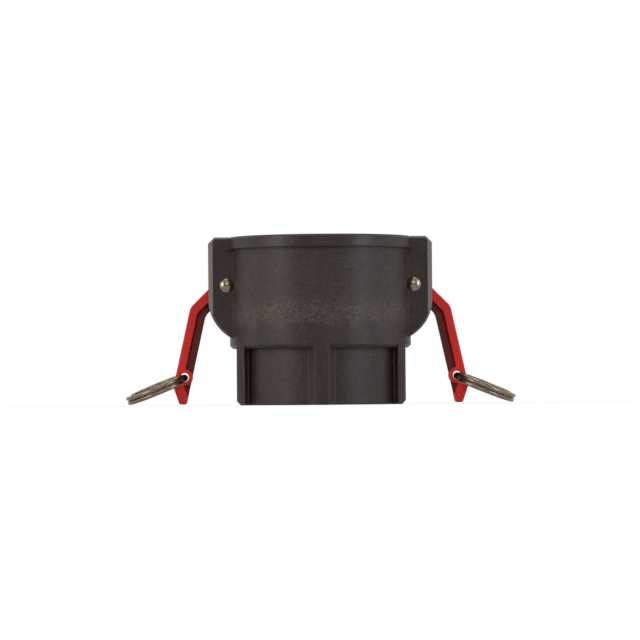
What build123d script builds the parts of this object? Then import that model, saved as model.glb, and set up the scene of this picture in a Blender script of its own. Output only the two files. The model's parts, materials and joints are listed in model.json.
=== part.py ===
from build123d import *
import math
import os

# A three inch cam and groove coupling: a moulded female coupler over a female pipe thread.
# Lengths are millimetres and angles are degrees. The origin is the middle of the threaded
# end face, Z runs up the bore, and the two cam arms lie to the left and right along X.
# Whatever comes in a left and a right hand is drawn on the +X side and mirrored.

# Bores, from the mouth down
SOCKET_RADIUS = 46.1
MOUTH_CHAMFER = 1.8
LEDGE_WIDTH = 8.1
LEDGE_THICKNESS = 7.0
THREAD_RADIUS = 44.3
THREAD_DEPTH = 34.0
THREAD_LEAD_IN = 1.6

# Gasket, a square-cut ring that snaps into a groove behind the socket wall
GASKET_THICKNESS = 6.35
GASKET_LIP = 1.15
GASKET_CLEARANCE = 0.3
GASKET_BORE_RELIEF = 0.1

# Barrel and rim
BODY_HEIGHT = 100.6
BARREL_WALL = 8.3
BARREL_EDGE_CHAMFER = 1.7
RIM_HEIGHT = 7.1
RIM_PROUD = 3.0
RIM_EDGE_CHAMFER = 0.9

# Threaded skirt, with four panels sunk between its ribs and two flat sides
SKIRT_HEIGHT = 34.0
SKIRT_WALL = 4.0
SKIRT_SIDE_WALL = 6.1
RIB_DEPTH = 6.1
RIB_FACE_WIDTH = 8.0
RIB_ROOT_WIDTH = 15.4
SIDE_RIB_FACE_WIDTH = 5.2
SIDE_RIB_DRAFT = 0.6
PANEL_ROOT_RADIUS = 1.5
RIB_CORNER_RADIUS = 0.9
BASE_EDGE_CHAMFER = 0.5
BASE_SIDE_CHAMFER = 2.4

# Pivot pins
PIN_RADIUS = 3.2
PIN_OUTSET = 9.9
PIN_ABOVE_GASKET = 24.35
PIN_HEAD_RADIUS = 4.05
PIN_HEAD_EDGE = 0.4
PIN_HEAD_DOME = 1.5
PIN_DOME_STEPS = 2
PIN_HOLE_CLEARANCE = 0.05
PIVOT_CLEARANCE = 0.1

# Ears, two pairs
EAR_THICKNESS = 7.5
EAR_MARGIN = 11.0
EAR_CORNER_CUT = 3.8
EAR_STRAIGHT_DROP = 8.7
EAR_ARC_RADIUS = 25.4
EAR_EDGE_CHAMFER = 1.1
EAR_STRIP_WIDTH = 2.7
EAR_STRIP_DEPTH = 1.9
EAR_ROOT_INSET = 2.0

# Cam arm, measured from its pivot: out from the bore and down
ARM_WIDTH = 14.9
ARM_SIDE_CLEARANCE = 0.3
HUB_RADIUS = 10.2
NOSE_RADIUS = 7.4
NOSE_REACH = 17.0
NOSE_CLEARANCE = 0.6
STOP_GAP = 0.3
ELBOW_OUT = 22.1
ELBOW_DROP = 12.9
ROOT_SLOPE = 45.0
SHANK_LEAN = 12.5
ROOT_DEPTH = 9.7
SHANK_DEPTH = 9.9
TIP_DROP = 70.9
TIP_WIDTH = 4.2
TIP_SHOULDER_RISE = 9.4
TIP_SHOULDER_STEP = 0.4
SHANK_END_RISE = 14.1
FLANGE_THICKNESS = 4.9
ROOT_FLANGE_THICKNESS = 5.4
TIP_FLANGE_THICKNESS = 6.2
WEB_THICKNESS = 4.6
POCKET_CORNER_RADIUS = 7.0
POCKET_FLOOR_CHAMFER = 0.9
ELBOW_RADIUS = 7.0
KNEE_RADIUS = 9.0
SHOULDER_RADIUS = 3.0
TIP_RADIUS = 1.6
ARM_EDGE_CHAMFER = 0.6

# Finger ring, a split ring of two turns that passes through the arm at its joggle
RING_OUTER_RADIUS = 19.8
RING_WIRE_RADIUS = 1.3
RING_FLAT_COUNT = 6
RING_TURN_GAP = 0.1
RING_JOGGLE_ANGLE = 50.0
RING_END_ANGLE = 33.0
RING_JOGGLE_THINNING = 0.05
RING_JOGGLE_LAP = 0.5
RING_SLOPE = 21.8
RING_ROLL = 3.7
RING_HOLE_RISE = 16.3
RING_HOLE_INSET = 5.3
RING_HOLE_CLEARANCE = 0.3
RING_HOLE_CHAMFER = 0.5
RING_BOSS_WALL = 2.2

# What follows from those sizes
BARREL_RADIUS = SOCKET_RADIUS + BARREL_WALL
RIM_RADIUS = BARREL_RADIUS + RIM_PROUD
WATERWAY_RADIUS = SOCKET_RADIUS - LEDGE_WIDTH
GASKET_SEAT = THREAD_DEPTH + LEDGE_THICKNESS
GROOVE_RADIUS = SOCKET_RADIUS + GASKET_LIP + GASKET_CLEARANCE
GROOVE_TOP = GASKET_SEAT + GASKET_THICKNESS + GASKET_CLEARANCE
PANEL_RADIUS = THREAD_RADIUS + SKIRT_WALL
SKIRT_RADIUS = PANEL_RADIUS + RIB_DEPTH
SKIRT_HALF_WIDTH = THREAD_RADIUS + SKIRT_SIDE_WALL
PIN_X = SOCKET_RADIUS + PIN_OUTSET
PIN_Z = GASKET_SEAT + GASKET_THICKNESS + PIN_ABOVE_GASKET
SLOT_HALF_WIDTH = ARM_WIDTH / 2 + ARM_SIDE_CLEARANCE
EAR_FACE = SLOT_HALF_WIDTH + EAR_THICKNESS
EAR_X = PIN_X + EAR_MARGIN
RING_RADIUS = RING_OUTER_RADIUS - RING_WIRE_RADIUS
RING_PITCH = 2 * RING_WIRE_RADIUS + RING_TURN_GAP

# How far a cutting tool runs past what it cuts
OVERCUT = 5.0


def side_face(points):
    """A face in the XZ plane through the given corners."""
    outline = Polyline(*[(x, 0, z) for x, z in points], close=True)
    return make_face(outline)


def slab(face, width):
    """The XZ face as a plate of the given width, centred on Y = 0."""
    return extrude(face, amount=width / 2, dir=(0, 1, 0), both=True)


def corner_at(shape, x, z):
    """The vertex of an XZ face that lies nearest to a point, as a list of one."""
    return shape.vertices().sort_by_distance((x, 0, z))[:1]


def at_pin(shape):
    """Move a piece drawn about the pivot to its place on the right-hand pin."""
    return Pos(PIN_X, 0, PIN_Z) * shape


def crossing(line_a, line_b):
    """Where two lines meet, each a point and a direction in (x, z)."""
    (ax, az), (adx, adz) = line_a
    (bx, bz), (bdx, bdz) = line_b
    along = ((bx - ax) * bdz - (bz - az) * bdx) / (adx * bdz - adz * bdx)
    return (ax + along * adx, az + along * adz)


def inset_line(start, end, distance):
    """The line from start to end, moved to the right of its direction."""
    dx, dz = end[0] - start[0], end[1] - start[1]
    length = math.hypot(dx, dz)
    moved = (start[0] + distance * dz / length, start[1] - distance * dx / length)
    return moved, (dx, dz)


def slope_point(angle, length):
    """A step of the given length at an angle below the horizontal."""
    return length * math.cos(math.radians(angle)), -length * math.sin(math.radians(angle))


def barrel():
    """The turned outer form above the skirt: barrel, rim and their edges."""
    rim_base = BODY_HEIGHT - RIM_HEIGHT
    profile = side_face(
        [
            (0, SKIRT_HEIGHT),
            (BARREL_RADIUS, SKIRT_HEIGHT),
            (BARREL_RADIUS, rim_base),
            (RIM_RADIUS, rim_base),
            (RIM_RADIUS, BODY_HEIGHT),
            (0, BODY_HEIGHT),
        ]
    )
    profile = chamfer(corner_at(profile, BARREL_RADIUS, SKIRT_HEIGHT), BARREL_EDGE_CHAMFER)
    profile = chamfer(corner_at(profile, RIM_RADIUS, BODY_HEIGHT), RIM_EDGE_CHAMFER)
    return revolve(profile, Axis.Z, 360)


def panel_outline():
    """One sunk panel, seen from below, in the quarter where X and Y are positive."""
    face_half, root_half = RIB_FACE_WIDTH / 2, RIB_ROOT_WIDTH / 2
    face_y = math.sqrt(SKIRT_RADIUS**2 - face_half**2)
    root_y = math.sqrt(PANEL_RADIUS**2 - root_half**2)
    flank = (root_half - face_half) / (face_y - root_y)
    side_face_x = SKIRT_HALF_WIDTH - SIDE_RIB_FACE_WIDTH
    side_root_x = side_face_x - SIDE_RIB_DRAFT
    side_face_y = math.sqrt(SKIRT_RADIUS**2 - side_face_x**2)
    side_root_y = math.sqrt(PANEL_RADIUS**2 - side_root_x**2)
    side_flank = SIDE_RIB_DRAFT / (side_face_y - side_root_y)
    corners = [
        (face_half - flank * OVERCUT, face_y + OVERCUT),
        (root_half, root_y),
        (root_half, side_root_y - OVERCUT),
        (side_root_x - side_flank * OVERCUT, side_root_y - OVERCUT),
        (side_face_x + side_flank * OVERCUT, side_face_y + OVERCUT),
        (side_face_x + side_flank * OVERCUT, face_y + OVERCUT),
    ]
    return make_face(Polyline(*corners, close=True)) - Circle(PANEL_RADIUS)


def skirt():
    """The threaded end: a ring with two flat sides, six ribs and four sunk panels."""
    section = Circle(SKIRT_RADIUS)
    section &= Rectangle(2 * SKIRT_HALF_WIDTH, 4 * SKIRT_RADIUS)
    quarter = panel_outline()
    for x_side in (1, -1):
        for y_side in (1, -1):
            turned = quarter if x_side > 0 else mirror(quarter, Plane.YZ)
            section -= turned if y_side > 0 else mirror(turned, Plane.XZ)
    root_limit = (PANEL_RADIUS + SKIRT_RADIUS) / 2
    roots = section.vertices().filter_by(lambda v: math.hypot(v.X, v.Y) < root_limit)
    section = fillet(roots, PANEL_ROOT_RADIUS)
    tips = section.vertices().filter_by(
        lambda v: math.hypot(v.X, v.Y) > SKIRT_RADIUS - RIB_CORNER_RADIUS / 2
    )
    section = fillet(tips, RIB_CORNER_RADIUS)
    block = extrude(section, SKIRT_HEIGHT + BARREL_EDGE_CHAMFER)
    foot = block.faces().sort_by(Axis.Z)[0].edges()
    return chamfer(foot, BASE_EDGE_CHAMFER) - side_foot() - mirror(side_foot(), Plane.YZ)


def side_foot():
    """What the larger chamfer under the right-hand flat side takes away."""
    inner = SKIRT_HALF_WIDTH - BASE_SIDE_CHAMFER
    past = SKIRT_HALF_WIDTH + OVERCUT
    corner = [
        (inner - OVERCUT, -OVERCUT),
        (past, -OVERCUT),
        (past, BASE_SIDE_CHAMFER + OVERCUT),
    ]
    return slab(side_face(corner), 2 * SKIRT_RADIUS)


def ear_outline():
    """The side view of an ear: cut corner, straight edge and the arc back to the barrel."""
    root_x = SOCKET_RADIUS + EAR_ROOT_INSET
    straight_end = PIN_Z - EAR_STRAIGHT_DROP
    centre_x = EAR_X - EAR_ARC_RADIUS
    sweep = math.degrees(math.acos((root_x - centre_x) / EAR_ARC_RADIUS))
    arc = [
        (
            centre_x + EAR_ARC_RADIUS * math.cos(math.radians(part * sweep)),
            straight_end - EAR_ARC_RADIUS * math.sin(math.radians(part * sweep)),
        )
        for part in (0.0, 0.5, 1.0)
    ]
    top = BODY_HEIGHT
    lines = [
        Polyline((root_x, 0, top), (EAR_X - EAR_CORNER_CUT, 0, top), (EAR_X, 0, top - EAR_CORNER_CUT),
                 (EAR_X, 0, straight_end)),
        ThreePointArc(*[(x, 0, z) for x, z in arc]),
        Line((root_x, 0, arc[-1][1]), (root_x, 0, top)),
    ]
    return make_face(lines)


def ear():
    """The front right ear, its outer edge bevelled, widest along the straight side."""
    plate = extrude(ear_outline(), amount=EAR_THICKNESS, dir=(0, -1, 0))
    plate = Pos(0, -SLOT_HALF_WIDTH, 0) * plate
    root_x = SOCKET_RADIUS + EAR_ROOT_INSET
    rim = plate.faces().sort_by(Axis.Y)[0].edges()
    rim = rim.filter_by(lambda edge: edge.center().X > root_x + OVERCUT / 2)
    plate = chamfer(rim, EAR_EDGE_CHAMFER)
    strip = Polyline(
        (EAR_X - EAR_STRIP_WIDTH, -EAR_FACE),
        (EAR_X, -EAR_FACE + EAR_STRIP_DEPTH),
        (EAR_X, -EAR_FACE),
        close=True,
    )
    return plate - extrude(make_face(strip), BODY_HEIGHT)


def cavity():
    """The bores as one turned tool: thread, ledge, gasket groove, socket and mouth."""
    top = BODY_HEIGHT
    return revolve(
        side_face(
            [
                (0, -OVERCUT),
                (THREAD_RADIUS + THREAD_LEAD_IN + OVERCUT, -OVERCUT),
                (THREAD_RADIUS, THREAD_LEAD_IN),
                (THREAD_RADIUS, THREAD_DEPTH),
                (WATERWAY_RADIUS, THREAD_DEPTH),
                (WATERWAY_RADIUS, GASKET_SEAT),
                (GROOVE_RADIUS, GASKET_SEAT),
                (GROOVE_RADIUS, GROOVE_TOP),
                (SOCKET_RADIUS, GROOVE_TOP),
                (SOCKET_RADIUS, top - MOUTH_CHAMFER),
                (SOCKET_RADIUS + MOUTH_CHAMFER + OVERCUT, top + OVERCUT),
                (0, top + OVERCUT),
            ]
        ),
        Axis.Z,
        360,
    )


def nose_tangent():
    """The upward normal of the cam's upper flank, tangent to its hub and its nose."""
    centre = NOSE_REACH - NOSE_RADIUS
    lift = math.acos((HUB_RADIUS - NOSE_RADIUS) / centre)
    return -math.cos(lift), math.sin(lift)


def cam_window():
    """The slot through the barrel wall that the cam swings in; its top stops the cam."""
    nx, nz = nose_tangent()
    centre = NOSE_REACH - NOSE_RADIUS
    reach = HUB_RADIUS + STOP_GAP
    outer = (nx * reach + nz * HUB_RADIUS, nz * reach - nx * HUB_RADIUS)
    run = PIN_OUTSET + OVERCUT
    tip = NOSE_RADIUS + STOP_GAP
    inner = (-centre + nx * tip - nz * run, nz * tip + nx * run)
    floor = -NOSE_REACH - NOSE_CLEARANCE
    opening = side_face([outer, inner, (inner[0], floor), (outer[0], floor)])
    return at_pin(slab(opening, 2 * SLOT_HALF_WIDTH))


def pin_hole():
    """The hole that a pivot pin sits in, through both ears of a pair."""
    hole = Cylinder(PIN_RADIUS + PIN_HOLE_CLEARANCE, 2 * EAR_FACE + OVERCUT)
    return at_pin(Rot(90, 0, 0) * hole)


def coupler_body():
    """The moulded body: barrel, skirt and four ears, then everything cut from them."""
    body = barrel() + skirt()
    front_ear = ear()
    ear_pair = front_ear + mirror(front_ear, Plane.XZ)
    cuts = cam_window() + pin_hole()
    body = body + ear_pair + mirror(ear_pair, Plane.YZ)
    return body - cavity() - cuts - mirror(cuts, Plane.YZ)


def gasket():
    """The flat ring gasket, lying on its ledge with its edge in the groove."""
    inner = WATERWAY_RADIUS + GASKET_BORE_RELIEF
    outer = SOCKET_RADIUS + GASKET_LIP
    section = Rectangle(outer - inner, GASKET_THICKNESS)
    section = Plane.XZ * Pos((inner + outer) / 2, GASKET_THICKNESS / 2) * section
    return Pos(0, 0, GASKET_SEAT) * revolve(section, Axis.Z, 360)


def head_profile():
    """Half of a rivet head from its edge to its crown: a low dome in a few even steps."""
    edge = EAR_FACE + PIN_HEAD_EDGE
    dome_radius = (PIN_HEAD_RADIUS**2 + PIN_HEAD_DOME**2) / (2 * PIN_HEAD_DOME)
    half_angle = math.asin(PIN_HEAD_RADIUS / dome_radius)
    centre = edge + PIN_HEAD_DOME - dome_radius
    angles = [half_angle * step / PIN_DOME_STEPS for step in range(PIN_DOME_STEPS, 0, -1)]
    return [(dome_radius * math.sin(a), centre + dome_radius * math.cos(a)) for a in angles]


def pivot_pin():
    """A pin riveted over the ears, with the same low dome on both ends."""
    head = [(PIN_RADIUS, EAR_FACE), (PIN_HEAD_RADIUS, EAR_FACE), *head_profile()]
    head.append((0, head[-1][1]))
    far_head = [(x, -z) for x, z in reversed(head)]
    pin = revolve(side_face(far_head + head), Axis.Z, 360)
    return at_pin(Rot(90, 0, 0) * pin)


def arm_corners():
    """The corners of the arm's side view about its pivot, as named points."""
    elbow = (ELBOW_OUT, -ELBOW_DROP)
    root = slope_point(ROOT_SLOPE, 1)
    root_start = crossing((elbow, root), ((PIN_RADIUS, 0), (0, 1)))
    lean = math.tan(math.radians(SHANK_LEAN))
    end_z = SHANK_END_RISE - TIP_DROP
    shank_end = (ELBOW_OUT + lean * (-ELBOW_DROP - end_z), end_z)
    inner_root = inset_line(root_start, elbow, ROOT_DEPTH)
    inner_shank = inset_line(elbow, shank_end, SHANK_DEPTH)
    knee = crossing(inner_root, inner_shank)
    tip_inner = crossing(inner_shank, ((0, -TIP_DROP), (1, 0)))
    return {
        "root_start": root_start,
        "elbow": elbow,
        "shank_end": shank_end,
        "shoulder": (shank_end[0] + TIP_SHOULDER_STEP, TIP_SHOULDER_RISE - TIP_DROP),
        "tip_outer": (tip_inner[0] + TIP_WIDTH, -TIP_DROP),
        "tip_inner": tip_inner,
        "knee": knee,
        "root_end": crossing(inner_root, ((PIN_RADIUS, 0), (0, 1))),
    }


def arm_blank():
    """The arm's side view at full width, with its long edges rounded."""
    corners = arm_corners()
    face = side_face(corners.values())
    radii = {
        "elbow": ELBOW_RADIUS,
        "shank_end": SHOULDER_RADIUS,
        "shoulder": SHOULDER_RADIUS,
        "tip_outer": TIP_RADIUS,
        "tip_inner": TIP_RADIUS,
        "knee": KNEE_RADIUS,
    }
    for name, radius in radii.items():
        face = fillet(corner_at(face, *corners[name]), radius)
    plate = slab(face, ARM_WIDTH)
    sides = plate.faces().sort_by(Axis.Y)
    return chamfer(sides[0].edges() + sides[-1].edges(), ARM_EDGE_CHAMFER)


def arm_pocket():
    """The hollow beside the web, open towards the body, on the +Y side."""
    corners = arm_corners()
    root = inset_line(corners["root_start"], corners["elbow"], ROOT_FLANGE_THICKNESS)
    shank = inset_line(corners["elbow"], corners["shank_end"], FLANGE_THICKNESS)
    tip = inset_line(corners["shoulder"], corners["tip_outer"], TIP_FLANGE_THICKNESS)
    start = crossing(root, ((PIN_RADIUS, 0), (0, 1)))
    bend = crossing(root, shank)
    low = crossing(shank, tip)
    end = crossing(tip, ((0, -TIP_DROP), (1, 0)))
    past = start[0] - SHANK_DEPTH
    face = side_face([start, bend, low, end, (past, end[1]), (past, start[1])])
    face = fillet(corner_at(face, *bend), POCKET_CORNER_RADIUS)
    hollow = Pos(0, WEB_THICKNESS / 2, 0) * extrude(face, amount=ARM_WIDTH, dir=(0, 1, 0))
    floor_edges = hollow.faces().sort_by(Axis.Y)[0].edges()
    return chamfer(floor_edges, POCKET_FLOOR_CHAMFER)


def cam():
    """The eccentric head: a round hub and the nose that bites into the groove."""
    nx, nz = nose_tangent()
    centre = NOSE_REACH - NOSE_RADIUS
    flanks = side_face(
        [
            (nx * HUB_RADIUS, nz * HUB_RADIUS),
            (-centre + nx * NOSE_RADIUS, nz * NOSE_RADIUS),
            (-centre + nx * NOSE_RADIUS, -nz * NOSE_RADIUS),
            (nx * HUB_RADIUS, -nz * HUB_RADIUS),
        ]
    )
    hub = Rot(90, 0, 0) * Cylinder(HUB_RADIUS, ARM_WIDTH)
    nose = Pos(-centre, 0, 0) * Rot(90, 0, 0) * Cylinder(NOSE_RADIUS, ARM_WIDTH)
    return hub + slab(flanks, ARM_WIDTH) + nose


def ring_hole_place():
    """The middle of the ring's hole, from the pivot: out and down."""
    corners = arm_corners()
    line = inset_line(corners["elbow"], corners["shank_end"], RING_HOLE_INSET)
    return crossing(line, ((0, RING_HOLE_RISE - TIP_DROP), (1, 0)))


def ring_sag():
    """How far the ring's wire curves away over half of the arm's width."""
    return RING_RADIUS - math.sqrt(RING_RADIUS**2 - (ARM_WIDTH / 2) ** 2)


def joggle_tilt():
    """The tilt that carries the wire from one turn to the other over its joggle."""
    reach = RING_RADIUS * math.sin(math.radians(RING_JOGGLE_ANGLE / 2))
    return math.degrees(math.asin(RING_PITCH / 2 / reach))


def ring_hole_radius():
    """The hole that lets the curved, tilted wire turn all the way round in it."""
    climb = ARM_WIDTH / 2 * math.tan(math.radians(joggle_tilt() - RING_ROLL))
    return RING_WIRE_RADIUS + math.hypot(ring_sag() / 2, climb) + RING_HOLE_CLEARANCE


def cam_arm():
    """The right-hand arm: cam, flanged shank, ring boss and rounded tip, one moulding."""
    pocket = arm_pocket()
    arm = arm_blank() - pocket - mirror(pocket, Plane.XZ)
    x, z = ring_hole_place()
    radius = ring_hole_radius()
    across = Pos(x, 0, z) * Rot(90, 0, 0)
    arm += across * Cylinder(radius + RING_BOSS_WALL, ARM_WIDTH)
    arm += cam()
    arm -= across * Cylinder(radius, ARM_WIDTH + OVERCUT)
    arm -= Rot(90, 0, 0) * Cylinder(PIN_RADIUS + PIVOT_CLEARANCE, ARM_WIDTH + OVERCUT)
    mouths = arm.edges().filter_by(GeomType.CIRCLE)
    mouths = mouths.filter_by(lambda edge: abs(edge.radius - radius) < RING_HOLE_CHAMFER / 10)
    return at_pin(chamfer(mouths, RING_HOLE_CHAMFER))


def ring_turn(start, end, height, wire_radius):
    """Part of one turn of wire, in the ring's own plane, angles from its joggle."""
    wire = Pos(RING_RADIUS, 0, 0) * Rot(90, 0, 0) * RegularPolygon(wire_radius, RING_FLAT_COUNT)
    sector = Rot(0, 0, start) * revolve(wire, Axis.Z, end - start)
    return Pos(0, 0, height) * sector


def split_ring():
    """The wire about its own centre: it steps from the lower to the upper turn at X."""
    half = RING_JOGGLE_ANGLE / 2
    lap = RING_JOGGLE_LAP
    lift = RING_PITCH / 2
    lower = ring_turn(RING_END_ANGLE, 360 - half, -lift, RING_WIRE_RADIUS)
    upper = ring_turn(half, 360 - RING_END_ANGLE, lift, RING_WIRE_RADIUS)
    drawn_radius = RING_WIRE_RADIUS - RING_JOGGLE_THINNING
    joggle = Rot(joggle_tilt(), 0, 0) * ring_turn(-half - lap, half + lap, 0, drawn_radius)
    return lower + joggle + upper


def finger_ring():
    """The right-hand ring, hung in its hole and sloping down and away from the arm."""
    x, z = ring_hole_place()
    ring = Rot(0, 0, 180) * split_ring()
    ring = Pos(RING_RADIUS - ring_sag() / 2, 0, 0) * ring
    ring = Rot(RING_ROLL, 0, 0) * ring
    ring = Rot(0, RING_SLOPE, 0) * ring
    return at_pin(Pos(x, 0, z) * ring)


def pair(name, shape):
    """A right-hand piece and its mirrored left-hand twin."""
    return {f"{name}_right": shape, f"{name}_left": mirror(shape, Plane.YZ)}


def build_parts():
    """Every piece of the coupling, by node name."""
    parts = {"coupler_body": coupler_body(), "gasket": gasket()}
    parts |= pair("pivot_pin", pivot_pin())
    parts |= pair("cam_arm", cam_arm())
    parts |= pair("finger_ring", finger_ring())
    return parts


os.makedirs("parts", exist_ok=True)
for node, shape in build_parts().items():
    export_step(shape, f"parts/{node}.step")
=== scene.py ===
"""The looks of a three inch cam and groove coupling, built around its CAD model.

The moulded body, the cam arms and the gasket are shown as the CAD model has them, each with its
own finish. The pivot pins and the finger rings are shown by rounder meshes in the same places,
and the turns of the pipe thread are added inside the threaded end. Lengths are metres, apart
from those whose name ends in mm.
"""

import json
import logging
import math
from dataclasses import dataclass
from enum import Enum

import bmesh
import bpy
from mathutils import Matrix, Vector

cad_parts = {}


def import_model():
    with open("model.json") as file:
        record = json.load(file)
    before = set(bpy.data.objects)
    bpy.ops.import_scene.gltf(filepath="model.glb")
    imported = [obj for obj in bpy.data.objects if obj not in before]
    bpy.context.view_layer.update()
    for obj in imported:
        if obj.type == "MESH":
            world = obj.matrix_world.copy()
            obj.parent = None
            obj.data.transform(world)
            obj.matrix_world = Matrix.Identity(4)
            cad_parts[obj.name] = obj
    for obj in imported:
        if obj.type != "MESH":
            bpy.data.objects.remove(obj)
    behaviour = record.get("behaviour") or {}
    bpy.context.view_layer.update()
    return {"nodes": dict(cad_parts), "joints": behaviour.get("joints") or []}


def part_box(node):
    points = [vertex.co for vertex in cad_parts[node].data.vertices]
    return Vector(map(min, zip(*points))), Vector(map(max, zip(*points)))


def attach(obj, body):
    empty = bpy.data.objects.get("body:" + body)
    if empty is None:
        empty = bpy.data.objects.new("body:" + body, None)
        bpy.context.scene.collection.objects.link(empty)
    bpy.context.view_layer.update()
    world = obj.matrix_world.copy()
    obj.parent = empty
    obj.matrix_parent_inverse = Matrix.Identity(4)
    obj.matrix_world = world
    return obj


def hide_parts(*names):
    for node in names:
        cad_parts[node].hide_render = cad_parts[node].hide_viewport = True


LOG = logging.getLogger("coupling")

Tree = bpy.types.NodeTree
Socket = bpy.types.NodeSocket
Settings = dict[str | int, object]

MM = 0.001
INCH = 25.4 * MM

# Sockets of the Mix node when it mixes colours
MIX_FACTOR = 0
MIX_A = 6
MIX_B = 7
MIX_COLOUR = 2

# Rays that a shading point sends out to find the edges it rounds
EDGE_SAMPLES = 6


class Side(Enum):
    """The hand of a piece that comes as a mirrored pair. The value is the sign of its X."""

    RIGHT = 1
    LEFT = -1

    @property
    def word(self) -> str:
        """The side as it stands in names."""
        return self.name.lower()


def linear(hex_colour: str) -> tuple[float, float, float, float]:
    """Turns an sRGB hex colour into the linear values that shaders take.

    Args:
        hex_colour: Six hex digits after a hash sign.

    Returns:
        Red, green, blue and an alpha of one, in linear light.
    """
    channels = [int(hex_colour[start : start + 2], 16) / 255 for start in (1, 3, 5)]
    light = [
        value / 12.92 if value <= 0.04045 else ((value + 0.055) / 1.055) ** 2.4
        for value in channels
    ]
    return (*light, 1.0)


def per_metre(millimetres: float) -> float:
    """The texture scale that gives a pattern of this size on object coordinates."""
    return 1 / (millimetres * MM)


def add_node(
    tree: Tree,
    kind: str,
    settings: Settings | None = None,
    links: dict[str | int, Socket] | None = None,
) -> bpy.types.Node:
    """Adds one shader node with its settings and links.

    Args:
        tree: The node tree that gets the node.
        kind: The node's type, such as ShaderNodeBump, without its ShaderNode prefix.
        settings: Values by property name or by input socket.
        links: The output socket that feeds each input socket.

    Returns:
        The new node.
    """
    node = tree.nodes.new(f"ShaderNode{kind}")
    for name, value in (settings or {}).items():
        if isinstance(name, int) or name in node.inputs:
            node.inputs[name].default_value = value
        else:
            setattr(node, name, value)
    for name, socket in (links or {}).items():
        tree.links.new(socket, node.inputs[name])
    return node


def finished_object(name: str, bm: bmesh.types.BMesh, sharp_angle: float) -> bpy.types.Object:
    """Turns a bmesh into an object at the origin, smooth but for its sharp edges.

    Args:
        name: The name of the object.
        bm: The finished shape, which is freed.
        sharp_angle: Edges that turn by more than this, in degrees, stay sharp.

    Returns:
        The object, linked to the scene.
    """
    mesh = bpy.data.meshes.new(name)
    bm.to_mesh(mesh)
    bm.free()
    mesh.shade_smooth()
    mesh.set_sharp_from_angle(angle=math.radians(sharp_angle))
    piece = bpy.data.objects.new(name, mesh)
    bpy.context.scene.collection.objects.link(piece)
    return piece


def dress(piece: bpy.types.Object, material: bpy.types.Material) -> bpy.types.Object:
    """Gives a piece one material all over.

    Args:
        piece: The piece, which may be a node of the CAD model.
        material: The material that takes the place of those it has.

    Returns:
        The same piece.
    """
    piece.data.materials.clear()
    piece.data.materials.append(material)
    return piece


@dataclass(frozen=True)
class Noise:
    """A cloudy pattern, by the real size of its clouds."""

    size_mm: float
    detail: float = 2.0
    roughness: float = 0.5
    distortion: float = 0.0

    @property
    def settings(self) -> Settings:
        """What the noise node is set to on object coordinates."""
        return {
            "Scale": per_metre(self.size_mm),
            "Detail": self.detail,
            "Roughness": self.roughness,
            "Distortion": self.distortion,
        }


@dataclass(frozen=True)
class Ramp:
    """A value that goes from before to after, as the one that it follows goes from start to end."""

    start: float
    end: float
    before: float = 0.0
    after: float = 1.0
    smooth: bool = False

    @property
    def settings(self) -> Settings:
        """What the map range node is set to."""
        return {
            "interpolation_type": "SMOOTHSTEP" if self.smooth else "LINEAR",
            "From Min": self.start,
            "From Max": self.end,
            "To Min": self.before,
            "To Max": self.after,
        }


@dataclass(frozen=True)
class Relief:
    """A raised or sunk pattern, by its depth and by how strongly it shows."""

    depth_mm: float
    strength: float

    @property
    def settings(self) -> Settings:
        """What the bump node is set to."""
        return {"Strength": self.strength, "Distance": self.depth_mm * MM}


@dataclass(frozen=True)
class Finish:
    """A surface finish that can be made into a material."""

    name: str

    def surface(self, tree: Tree) -> Socket:
        """Builds the finish's nodes.

        Args:
            tree: The material's own node tree.

        Returns:
            The shader socket for the surface.
        """
        raise NotImplementedError

    def material(self) -> bpy.types.Material:
        """Makes the material of this finish.

        Returns:
            The new material.
        """
        material = bpy.data.materials.new(self.name)
        material.use_nodes = True
        tree = material.node_tree
        tree.nodes.clear()
        add_node(tree, "OutputMaterial", links={"Surface": self.surface(tree)})
        return material

    @staticmethod
    def painted(tree: Tree, ground_hex: str, coats: list[tuple[Socket, str]]) -> Socket:
        """Lays coats of colour over a ground colour, each as thick as its mask says.

        Args:
            tree: The material's own node tree.
            ground_hex: The colour under all the coats.
            coats: The mask and the colour of each coat, from the lowest up.

        Returns:
            The colour socket of the last coat.
        """
        below: dict[int, Socket] = {}
        for mask, coat_hex in coats:
            colours = {"data_type": "RGBA", MIX_A: linear(ground_hex), MIX_B: linear(coat_hex)}
            coat = add_node(tree, "Mix", colours, {MIX_FACTOR: mask, **below}).outputs[MIX_COLOUR]
            below = {MIX_A: coat}
        return below[MIX_A]


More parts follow.
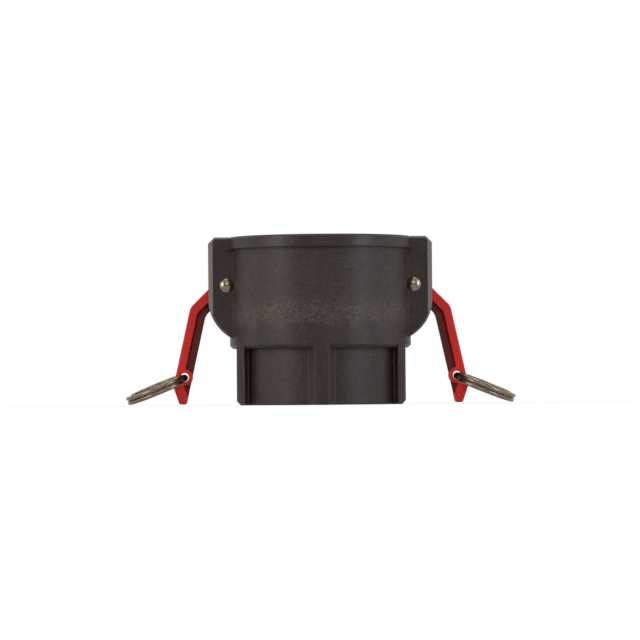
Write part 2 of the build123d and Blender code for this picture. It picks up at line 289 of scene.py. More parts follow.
@dataclass(frozen=True)
class FilledPolypropylene(Finish):
    """Glass filled polypropylene, injection moulded: brown black with a chalky, mottled skin.

    Fibres lie close under the skin, so it shows cloudy patches, pale flecks and a soft sheen.
    The barrel has a chalkier band low down, where the melt met, and a cleaner, glossier rim.
    The flecks and the grain are drawn coarser than the real ones, which wouldn't show.
    """

    name: str = "filled_polypropylene"
    body_hex: str = "#2A1F1D"
    shade_hex: str = "#221918"
    chalk_hex: str = "#483F3B"
    edge_hex: str = "#574E49"
    # Painted highlight on the ears' outer strips and bevels, where they catch the side lights and
    # the floor's bounce
    scuff_hex: str = "#706A63"
    patches: Noise = Noise(11.0, 3.0, 0.55, 0.4)
    clouds: Noise = Noise(2.0, 6.0, 0.68, 0.6)
    flecks: Noise = Noise(0.8)
    grain: Noise = Noise(0.45, roughness=0.6)
    # Where each coat of colour shows, by its pattern or by the distance from the middle
    patched: Ramp = Ramp(0.40, 0.62, smooth=True)
    clouded: Ramp = Ramp(0.36, 0.66)
    flecked: Ramp = Ramp(0.58, 0.74, after=0.6)
    rubbed: Ramp = Ramp(0.995, 0.90, after=0.5)
    # Where the ears' painted highlight lies: on their outer strips, and on their bevels out on the
    # ears
    scuffed: Ramp = Ramp(64.0 * MM, 64.6 * MM, after=0.8)
    bevelled: Ramp = Ramp(55.0 * MM, 56.0 * MM, after=0.6)
    # The Y part of the normal on the ears' bevels, and how far it may be off
    bevel_facing: float = 0.71
    bevel_margin: float = 0.09
    # How much of the chalk shows, by the height and by the distance from the axis
    band_low: Ramp = Ramp(44.0 * MM, 52.0 * MM, 0.04, 1.0, smooth=True)
    band_high: Ramp = Ramp(56.0 * MM, 66.0 * MM, 1.0, 0.22, smooth=True)
    below_rim: Ramp = Ramp(84.0 * MM, 93.0 * MM, 1.0, 0.2, smooth=True)
    off_barrel: Ramp = Ramp(54.6 * MM, 55.6 * MM, 1.0, 0.25, smooth=True)
    raggedness: float = 14.0 * MM
    edge_mm: float = 0.5
    waves: Relief = Relief(0.12, 0.35)
    grain_relief: Relief = Relief(0.02, 0.5)
    gloss: Ramp = Ramp(92.6 * MM, 94.2 * MM, 0.47, 0.38)
    refraction: float = 1.49
    specular: float = 0.26

    def surface(self, tree: Tree) -> Socket:
        """Builds the nodes: layers of colour, a gloss that the rim has more of, and relief.

        Args:
            tree: The material's own node tree.

        Returns:
            The shader socket for the surface.
        """
        place = add_node(tree, "TexCoord").outputs["Object"]
        rounded = add_node(
            tree, "Bevel", {"samples": EDGE_SAMPLES, "Radius": self.edge_mm * MM}
        ).outputs["Normal"]
        clouds, grain = (
            add_node(tree, "TexNoise", noise.settings, {"Vector": place}).outputs["Fac"]
            for noise in (self.clouds, self.grain)
        )
        height = add_node(tree, "SeparateXYZ", links={0: place}).outputs["Z"]
        roughness = add_node(
            tree, "MapRange", self.gloss.settings, {"Value": height}
        ).outputs["Result"]
        normal = rounded
        for relief, pattern in ((self.waves, clouds), (self.grain_relief, grain)):
            normal = add_node(
                tree, "Bump", relief.settings, {"Height": pattern, "Normal": normal}
            ).outputs["Normal"]
        colour = self.colour(tree, place, clouds, rounded)
        return add_node(
            tree,
            "BsdfPrincipled",
            {"IOR": self.refraction, "Specular IOR Level": self.specular},
            {"Base Color": colour, "Roughness": roughness, "Normal": normal},
        ).outputs["BSDF"]

    def colour(self, tree: Tree, place: Socket, clouds: Socket, rounded: Socket) -> Socket:
        """The colour: patches, chalk, flecks, rubbed edges and painted highlight on the ears.

        Args:
            tree: The material's own node tree.
            place: The place on the body.
            clouds: The noise of the chalk's clouds.
            rounded: The normal over rounded edges, which leaves the plain one at an edge.

        Returns:
            The colour socket.
        """
        patches, flecks = (
            add_node(tree, "TexNoise", noise.settings, {"Vector": place}).outputs["Fac"]
            for noise in (self.patches, self.flecks)
        )
        plain = add_node(tree, "NewGeometry").outputs["Normal"]
        agreement = add_node(
            tree, "VectorMath", {"operation": "DOT_PRODUCT"}, {0: rounded, 1: plain}
        ).outputs["Value"]
        followed = ((self.patched, patches), (self.flecked, flecks), (self.rubbed, agreement))
        patched, flecked, rubbed = (
            add_node(tree, "MapRange", ramp.settings, {"Value": value}).outputs["Result"]
            for ramp, value in followed
        )
        coats = [
            (patched, self.body_hex),
            (self.chalk(tree, place, patches, clouds), self.chalk_hex),
            (flecked, self.edge_hex),
            (rubbed, self.edge_hex),
            # Painted highlight on the ears' strips and bevels
            (self.wear(tree, place), self.scuff_hex),
        ]
        return self.painted(tree, self.shade_hex, coats)

    def chalk(self, tree: Tree, place: Socket, patches: Socket, clouds: Socket) -> Socket:
        """Where the skin is chalky: clouds, strongest in a ragged band low on the barrel.

        Args:
            tree: The material's own node tree.
            place: The place on the body.
            patches: The noise that makes the band ragged.
            clouds: The noise of the clouds themselves.

        Returns:
            A socket from zero for clean skin to one for chalk.
        """
        height = add_node(tree, "SeparateXYZ", links={0: place}).outputs["Z"]
        shift = add_node(
            tree,
            "Math",
            {"operation": "MULTIPLY_ADD", 1: self.raggedness, 2: -self.raggedness / 2},
            {0: patches},
        ).outputs[0]
        ragged = add_node(tree, "Math", {"operation": "ADD"}, {0: height, 1: shift}).outputs[0]
        level = add_node(
            tree, "VectorMath", {"operation": "MULTIPLY", 1: (1, 1, 0)}, {0: place}
        ).outputs["Vector"]
        radius = add_node(tree, "VectorMath", {"operation": "LENGTH"}, {0: level}).outputs["Value"]
        amount = add_node(
            tree, "MapRange", self.clouded.settings, {"Value": clouds}
        ).outputs["Result"]
        followed = (
            (self.band_low, ragged),
            (self.band_high, ragged),
            (self.below_rim, ragged),
            (self.off_barrel, radius),
        )
        for ramp, value in followed:
            share = add_node(tree, "MapRange", ramp.settings, {"Value": value}).outputs["Result"]
            amount = add_node(
                tree, "Math", {"operation": "MULTIPLY"}, {0: amount, 1: share}
            ).outputs[0]
        return amount

    def wear(self, tree: Tree, place: Socket) -> Socket:
        """Where the ears get a painted highlight: on their outer strips and on their bevels.

        Args:
            tree: The material's own node tree.
            place: The place on the body.

        Returns:
            A socket from zero for no highlight to one for the full painted highlight.
        """
        across = add_node(tree, "SeparateXYZ", links={0: place}).outputs["X"]
        outset = add_node(tree, "Math", {"operation": "ABSOLUTE"}, {0: across}).outputs[0]
        scuffed, beyond = (
            add_node(tree, "MapRange", ramp.settings, {"Value": outset}).outputs["Result"]
            for ramp in (self.scuffed, self.bevelled)
        )
        face = add_node(tree, "NewGeometry").outputs["True Normal"]
        towards = add_node(tree, "SeparateXYZ", links={0: face}).outputs["Y"]
        facing = add_node(tree, "Math", {"operation": "ABSOLUTE"}, {0: towards}).outputs[0]
        slanted = add_node(
            tree,
            "Math",
            {"operation": "COMPARE", 1: self.bevel_facing, 2: self.bevel_margin},
            {0: facing},
        ).outputs[0]
        bevels = add_node(
            tree, "Math", {"operation": "MULTIPLY"}, {0: slanted, 1: beyond}
        ).outputs[0]
        return add_node(
            tree, "Math", {"operation": "MAXIMUM"}, {0: scuffed, 1: bevels}
        ).outputs[0]


@dataclass(frozen=True)
class ColouredNylon(Finish):
    """Nylon with red pigment, injection moulded: an even, saturated skin with a soft gloss.

    The mould parts in the middle of the arm and leaves a fine raised line there, and the floors
    of the pockets beside the web are darkened with painted shade, where the flanges shade them.
    The grain is drawn coarser than the real one, which wouldn't show.
    """

    name: str = "coloured_nylon"
    body_hex: str = "#C01C16"
    shade_hex: str = "#A91814"
    # Painted shade on the pockets' floors, which the flanges shade from the side lights
    pocket_hex: str = "#680F0C"
    clouds: Noise = Noise(7.0, 4.0, 0.6, 0.5)
    grain: Noise = Noise(0.5)
    clouded: Ramp = Ramp(0.35, 0.65, before=0.3)
    # Where the pockets' painted shade lies: near the web's faces, on faces that look sideways
    pocketed: Ramp = Ramp(2.6 * MM, 4.6 * MM, 1.0, 0.0, smooth=True)
    sideways: Ramp = Ramp(0.4, 0.8)
    seamed: Ramp = Ramp(0.12 * MM, 0.24 * MM, 1.0, 0.0)
    edge_mm: float = 0.45
    seam_relief: Relief = Relief(0.05, 0.5)
    grain_relief: Relief = Relief(0.015, 0.35)
    gloss: Ramp = Ramp(0.0, 1.0, 0.34, 0.50)
    refraction: float = 1.53
    specular: float = 0.28

    def surface(self, tree: Tree) -> Socket:
        """Builds the nodes: faint pigment clouds, painted pocket shade, fine grain and parting
        line.

        Args:
            tree: The material's own node tree.

        Returns:
            The shader socket for the surface.
        """
        place = add_node(tree, "TexCoord").outputs["Object"]
        clouds, grain = (
            add_node(tree, "TexNoise", noise.settings, {"Vector": place}).outputs["Fac"]
            for noise in (self.clouds, self.grain)
        )
        depth = add_node(tree, "SeparateXYZ", links={0: place}).outputs["Y"]
        off_middle = add_node(tree, "Math", {"operation": "ABSOLUTE"}, {0: depth}).outputs[0]
        followed = (
            (self.clouded, clouds),
            (self.gloss, clouds),
            (self.seamed, off_middle),
        )
        clouded, roughness, seam = (
            add_node(tree, "MapRange", ramp.settings, {"Value": value}).outputs["Result"]
            for ramp, value in followed
        )
        # Painted shade on the pockets' floors
        grime = self.grime(tree, off_middle)
        coats = [(clouded, self.body_hex), (grime, self.pocket_hex)]
        normal = add_node(
            tree, "Bevel", {"samples": EDGE_SAMPLES, "Radius": self.edge_mm * MM}
        ).outputs["Normal"]
        for relief, pattern in ((self.seam_relief, seam), (self.grain_relief, grain)):
            normal = add_node(
                tree, "Bump", relief.settings, {"Height": pattern, "Normal": normal}
            ).outputs["Normal"]
        return add_node(
            tree,
            "BsdfPrincipled",
            {"IOR": self.refraction, "Specular IOR Level": self.specular},
            {
                "Base Color": self.painted(tree, self.shade_hex, coats),
                "Roughness": roughness,
                "Normal": normal,
            },
        ).outputs["BSDF"]

    def grime(self, tree: Tree, off_middle: Socket) -> Socket:
        """Painted shade on the web's two faces, the pockets' floors, which the flanges shade.

        Args:
            tree: The material's own node tree.
            off_middle: The distance from the middle of the arm's width.

        Returns:
            A socket from zero for unshaded to one for full painted shade.
        """
        face = add_node(tree, "NewGeometry").outputs["True Normal"]
        towards = add_node(tree, "SeparateXYZ", links={0: face}).outputs["Y"]
        facing = add_node(tree, "Math", {"operation": "ABSOLUTE"}, {0: towards}).outputs[0]
        inside, sideways = (
            add_node(tree, "MapRange", ramp.settings, {"Value": value}).outputs["Result"]
            for ramp, value in ((self.pocketed, off_middle), (self.sideways, facing))
        )
        return add_node(
            tree, "Math", {"operation": "MULTIPLY"}, {0: inside, 1: sideways}
        ).outputs[0]


@dataclass(frozen=True)
class StainlessSteel(Finish):
    """Stainless steel: warm grey and bright, with the faint marks that its making left.

    The marks are drawn coarser than the real ones, which wouldn't show.
    """

    bright_hex: str
    dull_hex: str
    mark_along_mm: float
    mark_across_mm: float
    mark_detail: float
    gloss: Ramp
    mark_roughness: float = 0.6
    marked: Ramp = Ramp(0.30, 0.70)
    mark_relief: Relief = Relief(0.01, 0.05)

    def place(self, tree: Tree) -> Socket:
        """The coordinates that the marks follow: the piece's own."""
        return add_node(tree, "TexCoord").outputs["Object"]

    def surface(self, tree: Tree) -> Socket:
        """Builds the nodes: marks that change the colour, the gloss and the height a little.

        Args:
            tree: The material's own node tree.

        Returns:
            The shader socket for the surface.
        """
        along, across = per_metre(self.mark_along_mm), per_metre(self.mark_across_mm)
        stretched = add_node(
            tree, "Mapping", {"Scale": (along, across, across)}, {"Vector": self.place(tree)}
        ).outputs["Vector"]
        marks = add_node(
            tree,
            "TexNoise",
            {"Scale": 1.0, "Detail": self.mark_detail, "Roughness": self.mark_roughness},
            {"Vector": stretched},
        ).outputs["Fac"]
        marked = add_node(
            tree, "MapRange", self.marked.settings, {"Value": marks}
        ).outputs["Result"]
        roughness = add_node(
            tree, "MapRange", self.gloss.settings, {"Value": marked}
        ).outputs["Result"]
        normal = add_node(
            tree, "Bump", self.mark_relief.settings, {"Height": marks}
        ).outputs["Normal"]
        return add_node(
            tree,
            "BsdfPrincipled",
            {"Metallic": 1.0},
            {
                "Base Color": self.painted(tree, self.dull_hex, [(marked, self.bright_hex)]),
                "Roughness": roughness,
                "Normal": normal,
            },
        ).outputs["BSDF"]


@dataclass(frozen=True)
class TumbledSteel(StainlessSteel):
    """Rod that was headed and then tumbled, which leaves it bright with small random marks."""

    name: str = "tumbled_steel"
    bright_hex: str = "#8A7F72"
    dull_hex: str = "#695E51"
    mark_along_mm: float = 1.6
    mark_across_mm: float = 1.6
    mark_detail: float = 4.0
    gloss: Ramp = Ramp(0.0, 1.0, 0.28, 0.18)


@dataclass(frozen=True)
class DrawnSteel(StainlessSteel):
    """Wire that was drawn through a die, which leaves it duller with long marks along it."""

    name: str = "drawn_steel"
    bright_hex: str = "#7A6E60"
    dull_hex: str = "#62564A"
    mark_along_mm: float = 16.0
    mark_across_mm: float = 0.8
    mark_detail: float = 0.0
    gloss: Ramp = Ramp(0.0, 1.0, 0.35, 0.27)

    def place(self, tree: Tree) -> Socket:
        """The coordinates that the marks follow: along the wire and around it."""
        return add_node(tree, "Attribute", {"attribute_name": "wire"}).outputs["Vector"]


@dataclass(frozen=True)
class NitrileRubber(Finish):
    """Nitrile rubber, moulded and square cut: near black and dull, with a dusty bloom.

    The grain is drawn coarser than the real one, which wouldn't show.
    """

    name: str = "nitrile_rubber"
    body_hex: str = "#1D1C1C"
    bloom_hex: str = "#3B3938"
    clouds: Noise = Noise(5.0, 5.0, 0.65)
    grain: Noise = Noise(0.6)
    bloomed: Ramp = Ramp(0.45, 0.75, after=0.6)
    edge_mm: float = 0.5
    grain_relief: Relief = Relief(0.03, 0.4)
    gloss: Ramp = Ramp(0.0, 1.0, 0.55, 0.75)
    refraction: float = 1.52

    def surface(self, tree: Tree) -> Socket:
        """Builds the nodes: a cloudy bloom over a fine matt grain.

        Args:
            tree: The material's own node tree.

        Returns:
            The shader socket for the surface.
        """
        place = add_node(tree, "TexCoord").outputs["Object"]
        clouds, grain = (
            add_node(tree, "TexNoise", noise.settings, {"Vector": place}).outputs["Fac"]
            for noise in (self.clouds, self.grain)
        )
        bloomed, roughness = (
            add_node(tree, "MapRange", ramp.settings, {"Value": clouds}).outputs["Result"]
            for ramp in (self.bloomed, self.gloss)
        )
        rounded = add_node(
            tree, "Bevel", {"samples": EDGE_SAMPLES, "Radius": self.edge_mm * MM}
        ).outputs["Normal"]
        normal = add_node(
            tree, "Bump", self.grain_relief.settings, {"Height": grain, "Normal": rounded}
        ).outputs["Normal"]
        return add_node(
            tree,
            "BsdfPrincipled",
            {"IOR": self.refraction},
            {
                "Base Color": self.painted(tree, self.body_hex, [(bloomed, self.bloom_hex)]),
                "Roughness": roughness,
                "Normal": normal,
            },
        ).outputs["BSDF"]


def seen_directly(tree: Tree) -> Socket:
    """One for what the camera, a mirror or glass sees, and zero for what only lights.

    Args:
        tree: The node tree of a floor or of the world.

    Returns:
        The socket with that value.
    """
    path = add_node(tree, "LightPath").outputs
    mirrored = add_node(
        tree,
        "Math",
        {"operation": "MAXIMUM"},
        {0: path["Is Glossy Ray"], 1: path["Is Transmission Ray"]},
    ).outputs[0]
    return add_node(
        tree, "Math", {"operation": "MAXIMUM"}, {0: path["Is Camera Ray"], 1: mirrored}
    ).outputs[0]


@dataclass(frozen=True)
class StudioPaper(Finish):
    """White background paper: the camera sees it white, and it still takes a soft shadow."""

    name: str = "studio_paper"
    paper_hex: str = "#F0EFEC"
    whitened: Ramp = Ramp(0.10, 0.45, 0.84, 1.0, smooth=True)

    def surface(self, tree: Tree) -> Socket:
        """Builds the nodes: plain matt paper, mostly white to the camera and to reflections.

        Args:
            tree: The material's own node tree.

        Returns:
            The shader socket for the surface.
        """
        paper = add_node(
            tree, "BsdfDiffuse", {"Color": linear(self.paper_hex), "Roughness": 1.0}
        ).outputs["BSDF"]
        white = add_node(tree, "Emission", {"Strength": 1.0}).outputs["Emission"]
        place = add_node(tree, "TexCoord").outputs["Object"]
        away = add_node(tree, "VectorMath", {"operation": "LENGTH"}, {0: place}).outputs["Value"]
        whitened = add_node(
            tree, "MapRange", self.whitened.settings, {"Value": away}
        ).outputs["Result"]
        share = add_node(
            tree, "Math", {"operation": "MULTIPLY"}, {0: seen_directly(tree), 1: whitened}
        ).outputs[0]
        return add_node(tree, "MixShader", links={0: share, 1: paper, 2: white}).outputs[0]


@dataclass(frozen=True)
class DarkCloth(Finish):
    """A dark sheet for the unlit room, a painted reflection: what bright metal mirrors on the
    camera's side.
    """

    name: str = "dark_cloth"
    cloth_hex: str = "#1A1919"

    def surface(self, tree: Tree) -> Socket:
        """Builds the node: one matt shader, because only blurred reflections show it."""
        return add_node(
            tree, "BsdfPrincipled", {"Base Color": linear(self.cloth_hex), "Roughness": 1.0}
        ).outputs["BSDF"]


@dataclass
class PivotPin:
    """A stainless pin riveted over the ears of one side, with a domed head at both ends."""

    side: Side
    shank_radius: float = 3.2 * MM
    head_radius: float = 4.05 * MM
    head_edge: float = 0.4 * MM
    dome_height: float = 1.5 * MM
    ear_face: float = 15.25 * MM
    dome_steps: int = 8
    turn_steps: int = 64
    merge_distance: float = 0.001 * MM
    sharp_angle: float = 40.0

    @property
    def node(self) -> str:
        """The CAD node that this pin is shown for."""
        return f"pivot_pin_{self.side.word}"

    def profile(self) -> list[tuple[float, float]]:
        """The pin's half section.

        Returns:
            Points as distance from the pin's axis and place along it.
        """
        dome = (self.head_radius**2 + self.dome_height**2) / (2 * self.dome_height)
        half_angle = math.asin(self.head_radius / dome)
        centre = self.ear_face + self.head_edge + self.dome_height - dome
        near = [(self.shank_radius, self.ear_face), (self.head_radius, self.ear_face)]
        for step in range(self.dome_steps, -1, -1):
            angle = half_angle * step / self.dome_steps
            near.append((dome * math.sin(angle), centre + dome * math.cos(angle)))
        far = [(across, -along) for across, along in reversed(near)]
        return far + near

    def build(self) -> bpy.types.Object:
        """Turns the pin's section about its axis.

        Returns:
            The pin, in place on its side of the coupling.
        """
        low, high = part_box(self.node)
        bm = bmesh.new()
        verts = [bm.verts.new((across, along, 0)) for across, along in self.profile()]
        for start, end in zip(verts, verts[1:]):
            bm.edges.new((start, end))
        bmesh.ops.spin(
            bm,
            geom=bm.verts[:] + bm.edges[:],
            cent=(0, 0, 0),
            axis=(0, 1, 0),
            angle=math.tau,
            steps=self.turn_steps,
            use_merge=True,
        )
        bmesh.ops.remove_doubles(bm, verts=bm.verts, dist=self.merge_distance)
        bmesh.ops.recalc_face_normals(bm, faces=bm.faces)
        bmesh.ops.translate(bm, verts=bm.verts, vec=(low + high) / 2)
        return finished_object(f"rivet_{self.side.word}", bm, self.sharp_angle)

    def fit(self, steel: bpy.types.Material) -> bpy.types.Object:
        """Shows the pin for its CAD node, fixed in the ears.

        Args:
            steel: The pin's finish.

        Returns:
            The finished pin.
        """
        piece = dress(self.build(), steel)
        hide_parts(self.node)
        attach(piece, "coupler")
        return piece


@dataclass
class FingerRing:
    """A split ring of two turns of wire, which steps from one turn to the other in its hole."""

    side: Side
    hole: tuple[float, float, float]
    wire_radius: float = 1.3 * MM
    outer_radius: float = 19.8 * MM
    turn_gap: float = 0.1 * MM
    joggle_angle: float = 54.0
    end_angle: float = 33.0
    end_rounding: float = 0.26 * MM
    end_segments: int = 2
    hang: float = 0.3 * MM
    slope: float = 21.8
    roll: float = 3.7
    wire_sides: int = 24
    step_angle: float = 1.5
    sharp_angle: float = 50.0

    @property
    def node(self) -> str:
        """The CAD node that this ring is shown for."""
        return f"finger_ring_{self.side.word}"

    @property
    def radius(self) -> float:
        """The radius of the wire's own centre line."""
        return self.outer_radius - self.wire_radius

    @property
    def pitch(self) -> float:
        """How far apart the two turns lie."""
        return 2 * self.wire_radius + self.turn_gap

    def height(self, angle: float) -> float:
        """How high the wire lies at an angle, counted from the middle of its joggle.

        Args:
            angle: Degrees along the wire, below zero on the lower turn.

        Returns:
            The height above the ring's middle plane.
        """
        share = min(max(angle / self.joggle_angle + 0.5, 0.0), 1.0)
        smooth = share * share * (3 - 2 * share)
        return self.pitch * (smooth - 0.5)

    def first_end(self, bm: bmesh.types.BMesh, angle: float) -> list[bmesh.types.BMEdge]:
        """Draws the circle of wire that the winding starts from.

        Args:
            bm: The mesh that gets it, with its attribute for the place along the wire.
            angle: Where the wire starts, in degrees.

        Returns:
            The circle's edges.
        """
        place = bm.verts.layers.float_vector["wire"]
        turned = Matrix.Rotation(math.radians(angle), 4, "Z")
        outset = Matrix.Translation((self.radius, 0, self.height(angle)))
        upright = Matrix.Rotation(math.pi / 2, 4, "X")
        made = bmesh.ops.create_circle(
            bm, segments=self.wire_sides, radius=self.wire_radius, matrix=turned @ outset @ upright
        )
        for index, vert in enumerate(made["verts"]):
            around = math.tau * index / self.wire_sides
            vert[place] = self.wire_radius * Vector((0, math.cos(around), math.sin(around)))
        return bm.edges[:]

    def wound_on(
        self, bm: bmesh.types.BMesh, edges: list[bmesh.types.BMEdge], angle: float
    ) -> list[bmesh.types.BMEdge]:
        """Winds the wire on by one step.

        Args:
            bm: The mesh of the wire.
            edges: The circle at the wire's present end.
            angle: Where that end is, in degrees.

        Returns:
            The circle at the new end.
        """
        place = bm.verts.layers.float_vector["wire"]
        turn = math.radians(self.step_angle)
        rise = self.height(angle + self.step_angle) - self.height(angle)
        last = bmesh.ops.spin(
            bm,
            geom=edges,
            cent=(0, 0, 0),
            axis=(0, 0, 1),
            dvec=(0, 0, rise),
            angle=turn,
            steps=1,
        )["geom_last"]
        wound = [part for part in last if isinstance(part, bmesh.types.BMEdge)]
        for vert in {vert for edge in wound for vert in edge.verts}:
            vert[place] = vert[place] + Vector((turn * self.radius, 0, 0))
        return wound

    def wire(self) -> bmesh.types.BMesh:
        """Winds the wire about the ring's own axis, with its joggle on the X axis.

        Returns:
            The closed wire, with its place along and around the wire as an attribute.
        """
        bm = bmesh.new()
        bm.verts.layers.float_vector.new("wire")
        start = self.end_angle - 360
        ends = [self.first_end(bm, start)]
        edges = ends[0]
        for step in range(round(-2 * start / self.step_angle)):
            edges = self.wound_on(bm, edges, start + step * self.step_angle)
        ends.append(edges)
        for loop in ends:
            bmesh.ops.edgeloop_fill(bm, edges=loop)
        bmesh.ops.bevel(
            bm,
            geom=[edge for loop in ends for edge in loop],
            offset=self.end_rounding,
            segments=self.end_segments,
            affect="EDGES",
            profile=0.5,
            material=-1,
        )
        return bm

    def build(self) -> bpy.types.Object:
        """Hangs the ring in the hole of its arm.

        Returns:
            The ring, in place.
        """
        low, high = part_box(f"cam_arm_{self.side.word}")
        half_width = (high.y - low.y) / 2
        sag = self.radius - math.sqrt(self.radius**2 - half_width**2)
        hole = Vector((abs(self.hole[0]), self.hole[1], self.hole[2] - self.hang))
        placed = (
            Matrix.Translation(hole)
            @ Matrix.Rotation(math.radians(self.slope), 4, "Y")
            @ Matrix.Rotation(math.radians(self.roll), 4, "X")
            @ Matrix.Translation((self.radius - sag / 2, 0, 0))
            @ Matrix.Rotation(math.pi, 4, "Z")
        )
        handed = Matrix.Diagonal((self.side.value, 1, 1, 1))
        bm = self.wire()
        bmesh.ops.transform(bm, matrix=handed @ placed, verts=bm.verts)
        bmesh.ops.recalc_face_normals(bm, faces=bm.faces)
        return finished_object(f"split_ring_{self.side.word}", bm, self.sharp_angle)

    def fit(self, steel: bpy.types.Material) -> bpy.types.Object:
        """Shows the ring for its CAD node, swinging in its arm.

        Args:
            steel: The ring's finish.

        Returns:
            The finished ring.
        """
        piece = dress(self.build(), steel)
        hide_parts(self.node)
        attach(piece, f"ring_{self.side.word}")
        return piece


@dataclass
class PipeThread:
    """The turns of the female pipe thread, eight to the inch, inside the threaded end.

    They are a sleeve whose back lies just inside the bore's wall.
    """

    pitch: float = INCH / 8
    wall_radius: float = 44.28 * MM
    root_radius: float = 44.23 * MM
    crest_radius: float = 41.8 * MM
    flat_share: float = 0.14
    bottom: float = 1.0 * MM
    top: float = 33.9 * MM
    entry_slope: float = 0.8
    steps: int = 96
    spare_turns: int = 2
    merge_distance: float = 0.002 * MM
    sharp_angle: float = 35.0

    def wind(self, bm: bmesh.types.BMesh) -> None:
        """Winds one turn's section up the bore, past both ends of the threaded length.

        Args:
            bm: The mesh that gets the turns.
        """
        flat = self.flat_share * self.pitch
        half = self.pitch / 2
        section = [
            (self.root_radius, 0),
            (self.root_radius, flat),
            (self.crest_radius, half),
            (self.crest_radius, half + flat),
            (self.root_radius, self.pitch),
        ]
        verts = [bm.verts.new((across, 0, up - self.pitch)) for across, up in section]
        edges = [bm.edges.new(pair) for pair in zip(verts, verts[1:])]
        turns = math.ceil(self.top / self.pitch) + self.spare_turns
        bmesh.ops.spin(
            bm,
            geom=verts + edges,
            cent=(0, 0, 0),
            axis=(0, 0, 1),
            dvec=(0, 0, self.pitch / self.steps),
            angle=math.tau * turns,
            steps=self.steps * turns,
        )
        bmesh.ops.remove_doubles(bm, verts=bm.verts, dist=self.merge_distance)

    def trim(self, bm: bmesh.types.BMesh) -> None:
        """Cuts the turns off level at the bottom and the top of the threaded length.

        Args:
            bm: The mesh of the turns.
        """
        for height, upwards in ((self.bottom, False), (self.top, True)):
            bmesh.ops.bisect_plane(
                bm,
                geom=bm.verts[:] + bm.edges[:] + bm.faces[:],
                plane_co=(0, 0, height),
                plane_no=(0, 0, 1),
                clear_outer=upwards,
                clear_inner=not upwards,
            )

    def open_entry(self, bm: bmesh.types.BMesh) -> None:
        """Cones the first turns open at the bottom, so that a pipe finds its way in.

        Args:
            bm: The mesh of the turns.
        """
        for vert in bm.verts:
            radius = vert.co.xy.length
            entry = self.root_radius - (vert.co.z - self.bottom) * self.entry_slope
            vert.co.xy *= max(radius, entry) / radius

    def close_back(self, bm: bmesh.types.BMesh) -> None:
        """Carries both ends out to the bore's wall and joins them behind the turns.

        Args:
            bm: The mesh of the turns.
        """
        rims = [edge for edge in bm.edges if edge.is_boundary]
        widened = bmesh.ops.extrude_edge_only(bm, edges=rims)["geom"]
        for vert in [part for part in widened if isinstance(part, bmesh.types.BMVert)]:
            vert.co.xy *= self.wall_radius / vert.co.xy.length
        outer = [edge for edge in bm.edges if edge.is_boundary]
        bmesh.ops.bridge_loops(bm, edges=outer)
        bmesh.ops.recalc_face_normals(bm, faces=bm.faces)

    def fit(self, polymer: bpy.types.Material) -> bpy.types.Object:
        """Builds the turns in the body's finish and fixes them to it.

        Args:
            polymer: The body's own finish.

        Returns:
            The thread as a closed sleeve.
        """
        bm = bmesh.new()
        self.wind(bm)
        self.trim(bm)
        self.open_entry(bm)
        self.close_back(bm)
        piece = dress(finished_object("pipe_thread_turns", bm, self.sharp_angle), polymer)
        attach(piece, "coupler")
        return piece


@dataclass
class Coupling:
    """The coupling itself: which finish each CAD node takes and which pieces are added."""

    nodes: dict[str, bpy.types.Object]
    joints: list[dict]

    def moulded_pieces(self) -> list[bpy.types.Object]:
        """Gives the CAD nodes that stay in view their finishes, and adds the thread's turns.

        Returns:
            The body, its thread, the gasket and the two arms.
        """
        polymer = FilledPolypropylene().material()
        nylon = ColouredNylon().material()
        rubber = NitrileRubber().material()
        pieces = [
            dress(self.nodes["coupler_body"], polymer),
            PipeThread().fit(polymer),
            dress(self.nodes["gasket"], rubber),
        ]
        pieces += [dress(self.nodes[f"cam_arm_{side.word}"], nylon) for side in Side]
        return pieces

    def steel_pieces(self) -> list[bpy.types.Object]:
        """Shows the pins and the rings by their rounder meshes.

        Returns:
            A pin and a ring for each side.
        """
        tumbled = TumbledSteel().material()
        drawn = DrawnSteel().material()
        places = {joint["name"]: joint["pos_m"] for joint in self.joints}
        pieces = []
        for side in Side:
            pieces.append(PivotPin(side).fit(tumbled))
            pieces.append(FingerRing(side, places[f"ring_{side.word}_swing"]).fit(drawn))
        return pieces


@dataclass(frozen=True)
class SoftBox:
    """A soft box that faces the coupling. Its azimuth counts from the camera's side to +X."""

    name: str
    azimuth: float
    distance: float
    height: float
    width: float
    length: float
    power: float
    tint_hex: str = "#FFFFFF"
    aim_height: float = 50 * MM

    def hang(self) -> None:
        """Hangs the box in its place, turned to the middle of the coupling."""
        data = bpy.data.lights.new(self.name, "AREA")
        data.shape = "RECTANGLE"
        data.size = self.width
        data.size_y = self.length
        data.energy = self.power
        data.color = linear(self.tint_hex)[:3]
        lamp = bpy.data.objects.new(self.name, data)
        bpy.context.scene.collection.objects.link(lamp)
        angle = math.radians(self.azimuth)
        across, along = self.distance * math.sin(angle), -self.distance * math.cos(angle)
        place = Vector((across, along, self.height))
        turned = (Vector((0, 0, self.aim_height)) - place).to_track_quat("-Z", "Y")
        lamp.matrix_world = Matrix.Translation(place) @ turned.to_matrix().to_4x4()


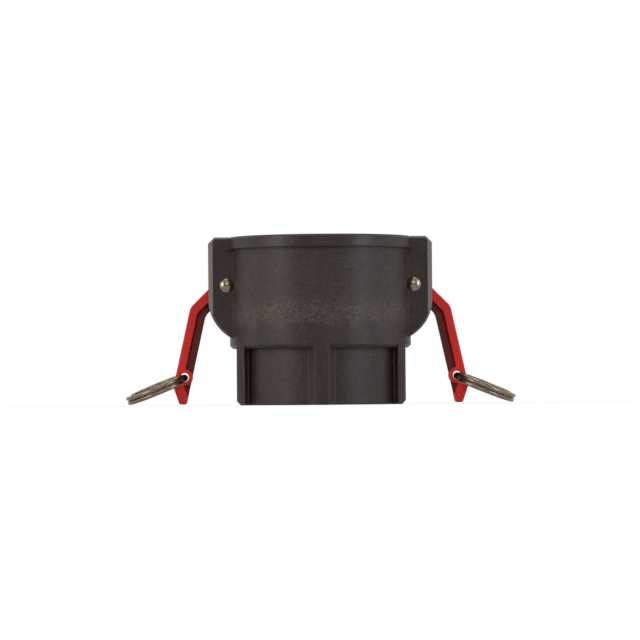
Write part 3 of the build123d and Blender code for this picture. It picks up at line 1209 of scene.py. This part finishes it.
@dataclass
class Studio:
    """The floor, the lights, the world and the camera around the coupling.

    Two narrow boxes draw the upright highlights on the barrel, and the wide ones fill in.
    """

    boxes: tuple[SoftBox, ...] = (
        SoftBox("key_left", -52, 1.7, 0.5, 0.28, 1.1, 13.5, "#FFFCF6"),
        SoftBox("key_right", 52, 1.7, 0.5, 0.28, 1.1, 13, "#F3F7FF"),
        SoftBox("wing_left", -88, 1.5, 0.55, 1.2, 1.2, 4, "#FFFCF6"),
        SoftBox("wing_right", 88, 1.5, 0.55, 1.2, 1.2, 4, "#F3F7FF"),
        SoftBox("fill", 0, 2.4, 1.1, 1.4, 1.0, 18),
        SoftBox("top", 0, 0.05, 1.5, 0.9, 0.9, 4),
        SoftBox("back", 180, 2.2, 0.9, 1.4, 1.0, 9),
    )
    floor_size: float = 6.0
    floor_squares: int = 8
    ambient: float = 0.05
    # A dark sheet behind the camera, the painted reflection of the unlit room
    cloth_size: float = 3.6
    cloth_squares: int = 4
    cloth_place: tuple[float, float, float] = (0, -2.6, 0.6)
    stage_sharp_angle: float = 30.0
    camera_distance: float = 2.2
    camera_height: float = 8 * MM
    camera_roll: float = 0.5
    camera_azimuth: float = -0.75
    camera_reach: float = 50.0
    view_width: float = 385.3 * MM
    picture_pixels: int = 640
    axis_column: float = 320.95
    level_row: float = 391.4

    def build(self) -> None:
        """Builds the whole studio."""
        self.lay_floor()
        self.light_world()
        for box in self.boxes:
            box.hang()
        self.hang_cloth()
        self.place_camera()

    def lay_floor(self) -> None:
        """Lays the paper floor under the coupling."""
        bm = bmesh.new()
        squares = self.floor_squares
        bmesh.ops.create_grid(
            bm, x_segments=squares, y_segments=squares, size=self.floor_size / 2
        )
        floor = finished_object("floor", bm, self.stage_sharp_angle)
        dress(floor, StudioPaper().material())

    def light_world(self) -> None:
        """Makes the world white to look at and dim as a light."""
        world = bpy.data.worlds.new("studio")
        bpy.context.scene.world = world
        world.use_nodes = True
        tree = world.node_tree
        tree.nodes.clear()
        brightness = Ramp(0.0, 1.0, self.ambient, 1.0)
        strength = add_node(
            tree, "MapRange", brightness.settings, {"Value": seen_directly(tree)}
        ).outputs["Result"]
        sky = add_node(tree, "Background", {"Color": (1, 1, 1, 1)}, {"Strength": strength})
        add_node(tree, "OutputWorld", links={"Surface": sky.outputs[0]})

    def hang_cloth(self) -> None:
        """Hangs a dark sheet behind the camera, a painted reflection of the unlit room that only
        reflections see.
        """
        bm = bmesh.new()
        squares = self.cloth_squares
        upright = Matrix.Rotation(math.pi / 2, 4, "X")
        bmesh.ops.create_grid(
            bm,
            x_segments=squares,
            y_segments=squares,
            size=self.cloth_size / 2,
            matrix=Matrix.Translation(self.cloth_place) @ upright,
        )
        sheet = finished_object("dark_room", bm, self.stage_sharp_angle)
        dress(sheet, DarkCloth().material())
        sheet.visible_camera = False
        sheet.visible_shadow = False
        sheet.visible_diffuse = False

    def place_camera(self) -> None:
        """Sets up the photograph's view: level with the foot, square to the arms, a long lens."""
        data = bpy.data.cameras.new("camera")
        data.lens = data.sensor_width * self.camera_distance / self.view_width
        data.shift_x = (self.picture_pixels / 2 - self.axis_column) / self.picture_pixels
        data.shift_y = (self.level_row - self.picture_pixels / 2) / self.picture_pixels
        data.clip_end = self.camera_reach
        camera = bpy.data.objects.new("camera", data)
        bpy.context.scene.collection.objects.link(camera)
        level = Matrix.Rotation(math.pi / 2, 4, "X")
        rolled = Matrix.Rotation(-math.radians(self.camera_roll), 4, "Z")
        turned = Matrix.Rotation(math.radians(self.camera_azimuth), 4, "Z")
        place = Matrix.Translation((0, -self.camera_distance, self.camera_height))
        camera.matrix_world = turned @ place @ level @ rolled
        bpy.context.scene.camera = camera


def main() -> None:
    """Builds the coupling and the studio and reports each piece."""
    logging.basicConfig(level=logging.INFO, format="%(name)s: %(message)s")
    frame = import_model()
    coupling = Coupling(frame["nodes"], frame["joints"])
    for piece in coupling.moulded_pieces() + coupling.steel_pieces():
        LOG.info("%s: %d faces", piece.name, len(piece.data.polygons))
    Studio().build()
    bpy.context.scene.view_settings.view_transform = "Standard"


if __name__ == "__main__":
    main()
